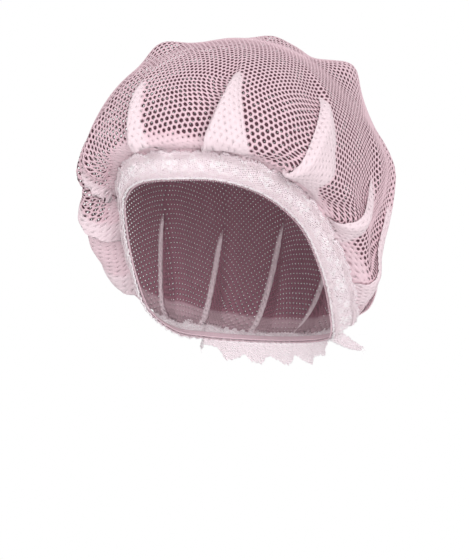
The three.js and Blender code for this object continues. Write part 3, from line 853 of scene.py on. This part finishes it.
def lace_strip(length, low, top_at, place, seed):
    """Lace from low up to top_at(u): points, triangles, solid share and hole share of each point."""
    sample = np.linspace(0, length, 400)
    points, ring = cell_lattice(LACE_PITCH, LACE_TURN, (0, low), (length, top_at(sample).max()))
    noise = np.random.default_rng(seed)
    centre = points[ring].mean(1)
    top = top_at(centre[:, 0])
    inside = (centre[:, 0] > 0) & (centre[:, 0] < length) & (centre[:, 1] > low)
    inside &= centre[:, 1] < top - LACE_FRAY * noise.uniform(0, 1, len(ring))
    ring, centre, top = ring[inside], centre[inside], top[inside]
    solid = lace_pattern(centre[:, 0], centre[:, 1], top)
    holes = (LACE_HOLE + (LACE_MOTIF_HOLE - LACE_HOLE) * solid) * noise.uniform(0.6, 1.4, len(ring))
    flat, side, front, back, _ = cell_mesh(points, ring, holes)
    stray = np.stack([lace_fluff(flat[:, 0], flat[:, 1], noise) for _ in range(2)], 1)
    flat = flat + noise.normal(0, 0.03, flat.shape) + LACE_STRAY * stray
    u = np.clip(flat[:, 0], 0, length)
    v = np.clip(flat[:, 1], low, top_at(u))
    solid = lace_pattern(u, v, top_at(u))
    middle, normals = place(u, v)
    fluff = LACE_FLUFF * lace_fluff(u, v, noise) * (1 - 0.7 * smooth((v - top_at(u) + 4) / 3))
    outer = LACE_HALF + LACE_RELIEF * solid
    rise = np.where(side > 0, outer, np.where(side < 0, -LACE_HALF, LACE_HALF / 5)) + fluff
    rise = rise + noise.normal(0, 0.06, len(rise)) * (side > 0)
    points = middle + normals * rise[:, None]
    walls = rim_walls(front, int((side > 0).sum()))
    triangles = np.concatenate([front, walls, back])
    return points, triangles, solid, (side == 0).astype(float), np.stack([u, v], 1), len(front) + len(walls)


def lace_piece(node, strip, material, extra=()):
    """A strip of lace as a piece, with extra threads that are mapped to a spare corner of its map."""
    points, triangles, solid, hole, flat, front_count = strip
    uv = bake_map(flat, triangles, front_count)
    points, triangles = joined([(points, triangles), *extra])
    spare = ((0.49, 0.5), (0.495, 0.5), (0.49, 0.505))
    uv = np.concatenate([uv, np.tile(spare, (len(triangles) - len(uv) // 3, 1))])
    more = len(points) - len(flat)
    # The hole values drive the lace's painted shade: a darker pink rim round each hole
    values = {"solid": np.append(solid, np.ones(more)), "hole": np.append(hole, np.zeros(more))}
    piece = mesh_piece(node + "_yarn", points, triangles, [material], None, values, uv)
    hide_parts(node)
    return piece


def ring_sides(rings, count):
    """Triangles between neighbouring rings of points."""
    row, column = np.meshgrid(np.arange(rings - 1), np.arange(count), indexing="ij")
    a, b = row * count + column, row * count + (column + 1) % count
    return np.stack([a, b, b + count, a, b + count, a + count], -1).reshape(-1, 3)


def tube(path, outward, radius, sides=5):
    """A thread along a path; outward is a direction, or one per point, that steadies its section."""
    tangent = unit(np.gradient(path, axis=0))
    across = unit(np.cross(tangent, outward))
    over = np.cross(across, tangent)
    turns = np.arange(sides) * 2 * math.pi / sides
    section = np.cos(turns)[None, :, None] * across[:, None] + np.sin(turns)[None, :, None] * over[:, None]
    points = (path[:, None] + radius * section).reshape(-1, 3)
    first, last = len(points), len(points) + 1
    start = np.arange(sides)
    end = start + (len(path) - 1) * sides
    caps = np.concatenate([
        np.stack([np.full(sides, first), np.roll(start, -1), start], 1),
        np.stack([np.full(sides, last), end, np.roll(end, -1)], 1),
    ])
    return np.concatenate([points, path[[0, -1]]]), np.concatenate([ring_sides(len(path), sides), caps])


def thread_piece(node, parts, material):
    """Threads joined to one piece."""
    piece = mesh_piece(node + "_yarn", *joined(parts), [material])
    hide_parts(node)
    return piece


def zigzag(length, pitch, low_at, high_at):
    """Points of a zigzag stitch along a band, four on each leg, with slightly rounded turns."""
    steps = np.arange(0, length / pitch * 2 * 4) / 4
    leg = steps.astype(int)
    part = steps - leg
    share = np.where(leg % 2 == 0, part, 1 - part)
    share = share + wave(share, (0.06, 1))
    u = steps * pitch / 2
    return u, low_at(u) + (high_at(u) - low_at(u)) * share


def level(height):
    """An edge at one height, as a function of the distance along a band."""
    return lambda u: np.full_like(u, height)


def band_elastic(name, band, material):
    """Ribbed elastic on the inner side of the lace, with picot loops along its lower edge."""
    u = np.arange(ELASTIC_END, band.length - ELASTIC_END, ELASTIC_STEP)
    lower, climb, out, _, _ = band.frame(u)
    across = np.linspace(0, ELASTIC_WIDTH, ELASTIC_SAMPLES)
    rib = ELASTIC_HALF * (RIB_SHARE + (1 - RIB_SHARE) * np.abs(np.sin(math.pi * across)))
    section = np.concatenate([np.stack([across, rib], 1), np.stack([across[::-1], -rib[::-1]], 1)])
    knit = 1 + KNIT_SHARE * np.cos(math.pi * np.arange(len(u)))
    points = lower[:, None] + climb[:, None] * (ELASTIC_INSET + section[None, :, :1])
    points = points + out[:, None] * (-ELASTIC_DEPTH + section[None, :, 1:] * knit[:, None, None])
    parts = [(points.reshape(-1, 3), ring_sides(len(u), len(section))[:, ::-1])]
    turn = np.linspace(0, math.pi, 7)
    drop = PICOT_RISE - (PICOT_DROP + PICOT_RISE) * np.sin(turn)
    for middle in np.arange(PICOT_START, band.length - 1, PICOT_PITCH):
        lower, climb, out, _, _ = band.frame(middle - PICOT_HALF * np.cos(turn))
        parts.append(tube(lower + climb * drop[:, None] - out * PICOT_DEPTH, out, PICOT_RADIUS, 4))
    return thread_piece(name, parts, material)


def edge_lift(v, width):
    """How far the lace stands off the net towards its upper edge."""
    return EDGE_LIFT * smooth((v - width + EDGE_LIFT_START) / EDGE_LIFT_LENGTH)


def front_place(u, v):
    """A place on the front lace: slightly puckered at the elastic, its upper edge over the net."""
    lower, climb, out, width, azimuth = FRONT.frame(u)
    loose = 1 + 0.9 * smooth((np.abs(azimuth) - 95) / 40)
    drift = wave(u, PUCKER_DRIFT)
    pucker = wave(u, PUCKER, drift) * np.exp(-np.maximum(v, 0) / PUCKER_REACH)
    swell = wave(u, SWELL, 1) * (v / 20) ** 2 + wave(u, SLANTED_SWELL, v / 9)
    rise = loose * (pucker + swell) + FRONT_REST + edge_lift(v, width)
    return lower + climb * v[:, None] + out * rise[:, None], out


def scallops(u, length):
    """The lace's upper edge: shallow scallops, worn uneven, and full at the band's ends."""
    ends = 1 - smooth(u / BAND_END_LENGTH) * smooth((length - u) / BAND_END_LENGTH)
    uneven = LACE_UNEVEN * np.sin(u / 4.3 + 2 * np.sin(u / 19)) * np.sin(u / 11 + 0.5)
    edge = SCALLOP_RISE * (np.abs(np.sin(math.pi * u / SCALLOP_LENGTH)) ** 0.7 - 0.5) + uneven
    return edge + (BAND_END_RISE - edge) * ends


def front_top(u):
    """Height of the front lace's upper edge."""
    return FRONT.frame(u)[3] + scallops(u, FRONT.length)


def nape_place(u, v):
    """A place on the nape lace: gathered by its elastic, with a ruffled frill below."""
    u = u / FRILL_GATHER
    lower, climb, out, width, azimuth = NAPE.frame(u)
    travelled = np.radians(azimuth) * OPENING_HALF_LENGTH
    ends = smooth(u / FRILL_TAPER) * smooth((NAPE.length - u) / FRILL_TAPER)
    down = np.clip(-v / (FRILL_DROP + FRILL_HEM), 0, 1) * (0.3 + 0.7 * ends)
    ruffle = wave(travelled, FRILL_RUFFLE) + wave(travelled, SMALL_RUFFLE, 1 + np.sin(travelled / 9))
    height = (v - NAPE_GATHERS_HEIGHT) / NAPE_GATHERS_REACH
    gathers = wave(travelled, NAPE_GATHERS) * np.exp(-(height**2))
    rise = (FRILL_FLARE + ruffle) * down + NAPE_REST + gathers + edge_lift(v, width)
    drop = FRILL_DROP * down * (1 + wave(travelled, FRILL_UNEVEN, 0.8))
    place = lower + climb * np.maximum(v, 0)[:, None] + out * rise[:, None]
    return place - drop[:, None] * (0, 0, 1), out


def nape_top(u):
    """Height of the nape lace's upper edge."""
    return NAPE.frame(u / FRILL_GATHER)[3] + 0.5 + 0.6 * scallops(u, NAPE.length * FRILL_GATHER)


def on_lace(place, u, v):
    """A thread that lies on the lace."""
    points, out = place(u, v)
    return tube(points + out * (LACE_RELIEF + THREAD_LIFT), out, THREAD_RADIUS)


def seam_stitches(reach, place, top_at):
    """Overlock thread near the lace's upper edge: a zigzag with a straight row on each side."""
    rows = [lambda u, below=below: top_at(u) - below for below in SEAM_ROWS]
    u = np.arange(0, reach, SEAM_STEP)
    zigzagging = on_lace(place, *zigzag(reach, SEAM_PITCH, *rows))
    return [zigzagging, *(on_lace(place, u, row(u)) for row in rows)]


def elastic_stitches(reach, place):
    """The zigzag that holds the elastic to the lace."""
    return [on_lace(place, *zigzag(reach, ELASTIC_PITCH, *map(level, ELASTIC_ROWS)))]


def corner_frame(side, share):
    """Where the front and the nape lace meet, at a share of the lace's width; directions up and out."""
    azimuth = np.array([side * CORNER_ANGLE])
    lower, upper = (round_lookup(table, azimuth)[0] for table in (LACE_LOWER, LACE_UPPER))
    out = unit(round_lookup(LACE_OUT, azimuth)[0])
    return lower + (upper - lower) * share, unit(upper - lower), out


def bar_tack(side, name, material):
    """A block of thread over the meeting laces, with whip stitches at the loose lace end."""
    middle, climb, out = corner_frame(side, TACK_SHARE)
    middle = middle + out * TACK_OUT
    across = unit(np.cross(climb, out))
    steps = np.arange(TACK_PASSES * 4 + 1) / 4
    share = np.abs((steps + 1) % 2 - 1)
    rise = (steps / TACK_PASSES - 0.5) * TACK_LENGTH
    bow = TACK_BOW * np.sin(math.pi * share)
    path = middle + across * ((share - 0.5) * TACK_WIDTH)[:, None] + climb * rise[:, None]
    parts = [tube(path + out * bow[:, None], out, TACK_THREAD, 6)]
    core = middle + climb * (np.linspace(-0.5, 0.5, 9) * TACK_LENGTH)[:, None] - out * CORE_DEPTH
    for core_share in CORE_SHARES:
        parts.append(tube(core + across * (core_share * TACK_WIDTH), out, TACK_THREAD, 6))
    span = END_WIDTH * WHIP_SHARE
    along, reach = zigzag(span, WHIP_PITCH, *map(level, WHIP_REACH))
    root, _, _ = corner_frame(side, END_SHARE)
    whip = root + climb * (along - span / 2)[:, None] + out * reach[:, None]
    parts.append(tube(whip, across, TACK_THREAD, 6))
    return thread_piece(name, parts, material)


def lace_end(side, name, material):
    """A loose tapering end of lace that curls out and back and frays at its tip."""
    root, climb, out = corner_frame(side, END_SHARE)
    root = root + out * END_OUT
    heading = out * END_HEADING_SHARES[0] + np.array((0, END_HEADING_SHARES[1], 0))
    span = np.linalg.norm(heading) * END_LENGTH
    high = np.array((0.0, 0.0, 1.0))
    face = unit(np.cross(unit(heading), climb)) * side

    def place(u, v):
        share = u / span
        width = END_WIDTH + (END_TIP - END_WIDTH) * share
        off = (v / END_WIDTH - 0.5) * width
        lift = END_LENGTH * END_CURL_SHARE * share**2 - np.abs(off) * END_DROOP_SHARE
        ripple = share * wave(v / END_WIDTH + share, END_RIPPLE)
        points = root + (heading * END_LENGTH) * share[:, None] + climb * off[:, None]
        points = points + high * lift[:, None] + face * ripple[:, None]
        return points, np.tile(face, (len(points), 1))

    strip = lace_strip(span, 0, level(END_WIDTH), place, 5 + side)
    noise = np.random.default_rng(11 + side)
    hem, _ = place(np.zeros(HEM_SAMPLES), np.linspace(0, END_WIDTH, HEM_SAMPLES))
    extra = [tube(hem - out * HEM_SHIFT, out, HEM_RADIUS, 8)]
    share = np.linspace(0, 1, 6)[:, None]
    for v in np.linspace(FRAY_EDGE, END_WIDTH - FRAY_EDGE, FRAY_COUNT):
        start, _ = place(np.array([span - FRAY_INSET]), np.array([v]))
        reach = noise.uniform(*FRAY_LENGTHS)
        bend = unit(heading) * reach * share + high * noise.normal(0, FRAY_STRAY[0]) * share**2
        path = start + bend + climb * noise.normal(0, FRAY_STRAY[1]) * share**2
        extra.append(tube(path, face, FRAY_RADIUS, 4))
    return lace_piece(name, strip, material, extra)


def color(red, green, blue):
    """A linear colour from one given in 0 to 255 as seen on a screen."""
    values = [c / 255 for c in (red, green, blue)]
    return (*(v / 12.92 if v <= 0.04045 else ((v + 0.055) / 1.055) ** 2.4 for v in values), 1)


def connect(tree, node, inputs):
    """Fills inputs of a node, each with a value or with another node's output."""
    for name, value in inputs.items():
        if isinstance(value, bpy.types.NodeSocket):
            tree.links.new(value, node.inputs[name])
        else:
            node.inputs[name].default_value = value


def new_node(tree, kind, inputs):
    """A shader node with these inputs."""
    node = tree.nodes.new("ShaderNode" + kind)
    connect(tree, node, inputs)
    return node


def mixed(tree, factor, first, second):
    """A colour mixed from two by a factor output; a colour mix has them at inputs 6 and 7."""
    mix = tree.nodes.new("ShaderNodeMix")
    mix.data_type = "RGBA"
    connect(tree, mix, {0: factor, 6: first, 7: second})
    return mix.outputs[2]


def ranged(tree, value, low, high):
    """A value stretched to go from 0 at low to 1 at high."""
    inputs = {"From Min": low, "From Max": high, "Value": value}
    return new_node(tree, "MapRange", inputs).outputs["Result"]


def noise_share(tree, scale, low, high, detail=3):
    """Procedural noise over the piece, from 0 to 1."""
    coordinates = tree.nodes.new("ShaderNodeTexCoord").outputs["Object"]
    inputs = {"Scale": scale, "Detail": detail, "Vector": coordinates}
    return ranged(tree, new_node(tree, "TexNoise", inputs).outputs["Fac"], low, high)


def new_material(name):
    """A material with nodes: its node tree and its surface node."""
    material = bpy.data.materials.new(name)
    material.use_nodes = True
    return material, material.node_tree, material.node_tree.nodes["Principled BSDF"]


def yarn_material(name, light, shade, fibre_scale, bump, roughness, tints=(), fuzz=0.15):
    """Knitted yarn: two tones by noise, a fibre bump, and tints that grow with point attributes.

    A tint is an attribute's name, the values between which it grows, and its colour."""
    material, tree, surface = new_material(name)
    broad = noise_share(tree, 28, 0.35, 0.65)
    fine = noise_share(tree, fibre_scale, 0.3, 0.7, 2)
    tone = mixed(tree, broad, color(*light), color(*shade))
    tone = mixed(tree, fine, tone, mixed(tree, broad, color(*shade), color(*light)))
    for attribute, low, high, tint in tints:
        reader = tree.nodes.new("ShaderNodeAttribute")
        reader.attribute_name = attribute
        tone = mixed(tree, ranged(tree, reader.outputs["Fac"], low, high), tone, color(*tint))
    lift = new_node(tree, "Bump", {"Strength": bump, "Distance": BUMP_DEPTH, "Height": fine})
    connect(tree, surface, {
        "Base Color": tone, "Normal": lift.outputs["Normal"], "Roughness": roughness,
        "Specular IOR Level": 0.3, "Sheen Weight": fuzz, "Sheen Roughness": 0.5,
    })
    return material


def look_at(thing, place, target):
    """Puts a lamp or a camera at a place and turns it to a target."""
    thing.location = place
    thing.rotation_euler = (Vector(target) - Vector(place)).to_track_quat("-Z", "Y").to_euler()
    bpy.context.scene.collection.objects.link(thing)


def paper_floor():
    """A plain pale floor."""
    bpy.ops.mesh.primitive_circle_add(
        vertices=96, radius=FLOOR_RADIUS, fill_type="NGON", location=(0, 0, FLOOR_HEIGHT)
    )
    floor = bpy.context.object
    floor.name = "floor"
    material, tree, surface = new_material("floor_paper")
    tone = mixed(tree, noise_share(tree, 60, 0.3, 0.7), color(238, 237, 237), color(234, 233, 233))
    connect(tree, surface, {"Base Color": tone, "Roughness": 0.9})
    floor.data.materials.append(material)


def soft_world():
    """Soft light from all round; white where the camera sees past the floor, also in glossy pieces."""
    world = bpy.data.worlds.new("studio")
    bpy.context.scene.world = world
    world.use_nodes = True
    tree = world.node_tree
    rays = tree.nodes.new("ShaderNodeLightPath").outputs
    seen = rays["Is Camera Ray"]
    for other in ("Is Glossy Ray", "Is Transmission Ray"):
        larger = new_node(tree, "Math", {0: seen, 1: rays[other]})
        larger.operation = "MAXIMUM"
        seen = larger.outputs[0]
    mix = new_node(tree, "MixShader", {0: seen})
    white = tree.nodes.new("ShaderNodeBackground")
    for socket, light, strength in ((1, tree.nodes["Background"], AMBIENT), (2, white, 1.0)):
        connect(tree, light, {"Color": (1, 1, 1, 1), "Strength": strength})
        connect(tree, mix, {socket: light.outputs[0]})
    connect(tree, tree.nodes["World Output"], {"Surface": mix.outputs[0]})


def area_lamp(name, place, size, power):
    """A soft round lamp."""
    data = bpy.data.lights.new(name, "AREA")
    data.shape = "DISK"
    data.size = size
    data.energy = power
    look_at(bpy.data.objects.new(name, data), place, LAMP_TARGET)


def photo_camera():
    """The camera at the picture's viewing angle."""
    data = bpy.data.cameras.new("camera")
    data.sensor_width = CAMERA_SENSOR
    data.lens = CAMERA_LENS
    data.shift_x = CAMERA_SHIFT
    camera = bpy.data.objects.new("camera", data)
    look_at(camera, CAMERA_PLACE, CAMERA_TARGET)
    bpy.context.scene.camera = camera


def laced_band(name, band, gather, low, place, top_at, seed):
    """A band's lace, which is gather times as long as the band, with its elastic, seam and stitches."""
    reach = band.length * gather
    return [
        lace_piece(name + "_lace", lace_strip(reach, low, top_at, place, seed), lace_yarn),
        band_elastic(name + "_elastic", band, elastic_yarn),
        thread_piece(name + "_seam_thread", seam_stitches(reach, place, top_at), thread_yarn),
        thread_piece(name + "_stitch_thread", elastic_stitches(reach, place), thread_yarn),
    ]


def bend_with_nape(pieces):
    """Bakes each piece's placement into its mesh."""
    for piece in pieces:
        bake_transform(piece)


# Outer net yarn. Its hole tint is painted shade: a dark mauve ring round each hole, for the shade behind
# the net. Its folded tint paints folded and gathered cloth paler: partly the look of doubled cloth, partly
# a painted highlight
net_outer = yarn_material(
    "net_outer", light=(231, 199, 208), shade=(218, 184, 194), fibre_scale=1100, bump=0.45, roughness=0.75,
    tints=[("folded", 0.2, 1.1, (230, 211, 217)), ("hole", 0.72, 0.92, (120, 80, 90))],
)
# Inner net yarn, on the faces towards the head: its darker mauve is painted shade for the shaded inside of
# the net, and its hole tint darkens the hole rims further, also painted shade. Its folded tint paints
# turned-over layers pale again: partly the look of doubled cloth, partly a painted highlight
net_inner_painted_shade = yarn_material(
    "net_inner_painted_shade", light=(156, 113, 126), shade=(142, 98, 112), fibre_scale=900, bump=0.25, roughness=0.85,
    tints=[("folded", 0.3, 0.9, (238, 220, 226)), ("hole", 0.72, 0.92, (96, 62, 72))],
)
# Lace yarn: its solid tint is the motifs' own whiter stitches; its hole tint is painted shade, a darker
# pink rim round each hole of the ground
lace_yarn = yarn_material(
    "lace_yarn", light=(250, 236, 241), shade=(243, 226, 233), fibre_scale=1300, bump=0.35, roughness=0.8,
    tints=[("solid", 0.2, 1.1, (254, 247, 250)), ("hole", 0.5, 1.0, (232, 208, 217))], fuzz=0.6,
)
elastic_yarn = yarn_material(
    "elastic_yarn", light=(236, 208, 217), shade=(226, 196, 206), fibre_scale=1500, bump=0.4, roughness=0.7
)
thread_yarn = yarn_material(
    "thread_yarn", light=(247, 232, 236), shade=(240, 222, 228), fibre_scale=2200, bump=0.5, roughness=0.6
)

net_pieces = crown_net([net_outer, net_inner_painted_shade])
front_pieces = laced_band("front", FRONT, 1, 0, front_place, front_top, 21)
nape_pieces = laced_band("nape", NAPE, FRILL_GATHER, -FRILL_DROP - FRILL_HEM, nape_place, nape_top, 22)
tacks = [bar_tack(1, "bar_tack_left", thread_yarn), bar_tack(-1, "bar_tack_right", thread_yarn)]
ends = [lace_end(1, "lace_end_left", lace_yarn), lace_end(-1, "lace_end_right", lace_yarn)]

bend_with_nape([*(piece for piece, _, _ in net_pieces), *front_pieces])
for piece in (*nape_pieces, *tacks):
    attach(piece, "nape_band")
for piece, body in zip(ends, ("lace_end_left", "lace_end_right")):
    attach(piece, body)

paper_floor()
soft_world()
for lamp in LAMPS:
    area_lamp(*lamp)
photo_camera()
bpy.context.scene.view_settings.view_transform = "Standard"
